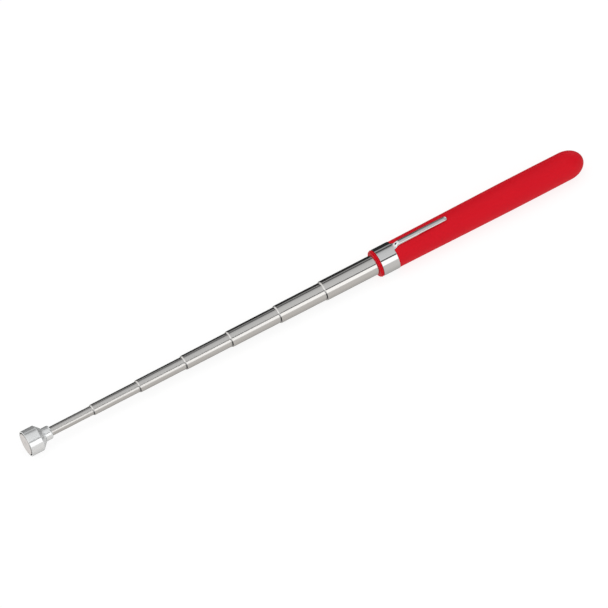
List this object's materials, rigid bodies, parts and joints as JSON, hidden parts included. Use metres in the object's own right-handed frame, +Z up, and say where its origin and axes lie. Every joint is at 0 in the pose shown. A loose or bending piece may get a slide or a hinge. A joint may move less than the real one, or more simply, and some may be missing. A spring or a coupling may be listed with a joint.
{
  "type": "telescopic magnetic pick-up tool",
  "caption": "Telescopic pick-up tool: nested steel tubes that draw out of a soft red grip with a pocket clip, and a round magnet head at the tip.",
  "frame": {"origin": "middle of the base of the box round the tool, as it lies part drawn out on its grip", "axes": "+X along the tool from the magnet to the closed end of the grip, +Z up on the side with the pocket clip, +Y across"},
  "size_m": [0.3158, 0.0146, 0.0159],
  "materials": {
    "grip_vinyl": "soft matt dipped vinyl",
    "tube_steel": "bright polished and plated",
    "clip_chrome": "mirror plated spring steel",
    "head_aluminium": "bright turned",
    "plate_steel": "ground",
    "magnet_nickel": "nickel plated",
    "spring_brass": "rolled",
    "plug_nylon": "moulded"
  },
  "bodies": {
    "handle": {"grip_sleeve": "grip_vinyl", "fixed_tube": "tube_steel", "end_plug": "plug_nylon", "pocket_clip_band": "clip_chrome"},
    "clip": {"pocket_clip_arm": "clip_chrome"},
    "slider_1": {"friction_spring_1": "spring_brass"},
    "stage_1": {"stage_tube_1": "tube_steel"},
    "slider_2": {"friction_spring_2": "spring_brass"},
    "stage_2": {"stage_tube_2": "tube_steel"},
    "slider_3": {"friction_spring_3": "spring_brass"},
    "stage_3": {"stage_tube_3": "tube_steel"},
    "slider_4": {"friction_spring_4": "spring_brass"},
    "stage_4": {"stage_tube_4": "tube_steel"},
    "slider_5": {"friction_spring_5": "spring_brass"},
    "stage_5": {"stage_tube_5": "tube_steel"},
    "slider_6": {"friction_spring_6": "spring_brass"},
    "head": {"stage_tube_6": "tube_steel", "head_stud": "plate_steel", "head_housing": "head_aluminium", "keeper_plate": "plate_steel", "magnet_disc": "magnet_nickel", "pole_plate": "plate_steel"}
  },
  "joints": [
    {"name": "clip_flex", "type": "hinge", "parent": "handle", "child": "clip", "pos_m": [0.05008, 0, 0.01419], "axis": [0, -1, 0], "range_deg": [0, 6], "stiffness_Nm_per_rad": 1.5},
    {"name": "slide_1", "type": "slide", "parent": "handle", "child": "slider_1", "axis": [-1, 0, 0], "range_m": [-0.0243, 0.0903]},
    {"name": "turn_1", "type": "hinge", "parent": "slider_1", "child": "stage_1", "pos_m": [-0.01635, 0, 0.00731], "axis": [-1, 0, 0], "continuous": true},
    {"name": "slide_2", "type": "slide", "parent": "stage_1", "child": "slider_2", "axis": [-1, 0, 0], "range_m": [-0.0257, 0.0889]},
    {"name": "turn_2", "type": "hinge", "parent": "slider_2", "child": "stage_2", "pos_m": [-0.04355, 0, 0.00731], "axis": [-1, 0, 0], "continuous": true},
    {"name": "slide_3", "type": "slide", "parent": "stage_2", "child": "slider_3", "axis": [-1, 0, 0], "range_m": [-0.0242, 0.0904]},
    {"name": "turn_3", "type": "hinge", "parent": "slider_3", "child": "stage_3", "pos_m": [-0.06925, 0, 0.00731], "axis": [-1, 0, 0], "continuous": true},
    {"name": "slide_4", "type": "slide", "parent": "stage_3", "child": "slider_4", "axis": [-1, 0, 0], "range_m": [-0.0243, 0.0903]},
    {"name": "turn_4", "type": "hinge", "parent": "slider_4", "child": "stage_4", "pos_m": [-0.09505, 0, 0.00731], "axis": [-1, 0, 0], "continuous": true},
    {"name": "slide_5", "type": "slide", "parent": "stage_4", "child": "slider_5", "axis": [-1, 0, 0], "range_m": [-0.02435, 0.09025]},
    {"name": "turn_5", "type": "hinge", "parent": "slider_5", "child": "stage_5", "pos_m": [-0.1209, 0, 0.00731], "axis": [-1, 0, 0], "continuous": true},
    {"name": "slide_6", "type": "slide", "parent": "stage_5", "child": "slider_6", "axis": [-1, 0, 0], "range_m": [-0.0215, 0.0931]},
    {"name": "turn_6", "type": "hinge", "parent": "slider_6", "child": "head", "pos_m": [-0.1439, 0, 0.00731], "axis": [-1, 0, 0], "continuous": true}
  ]
}
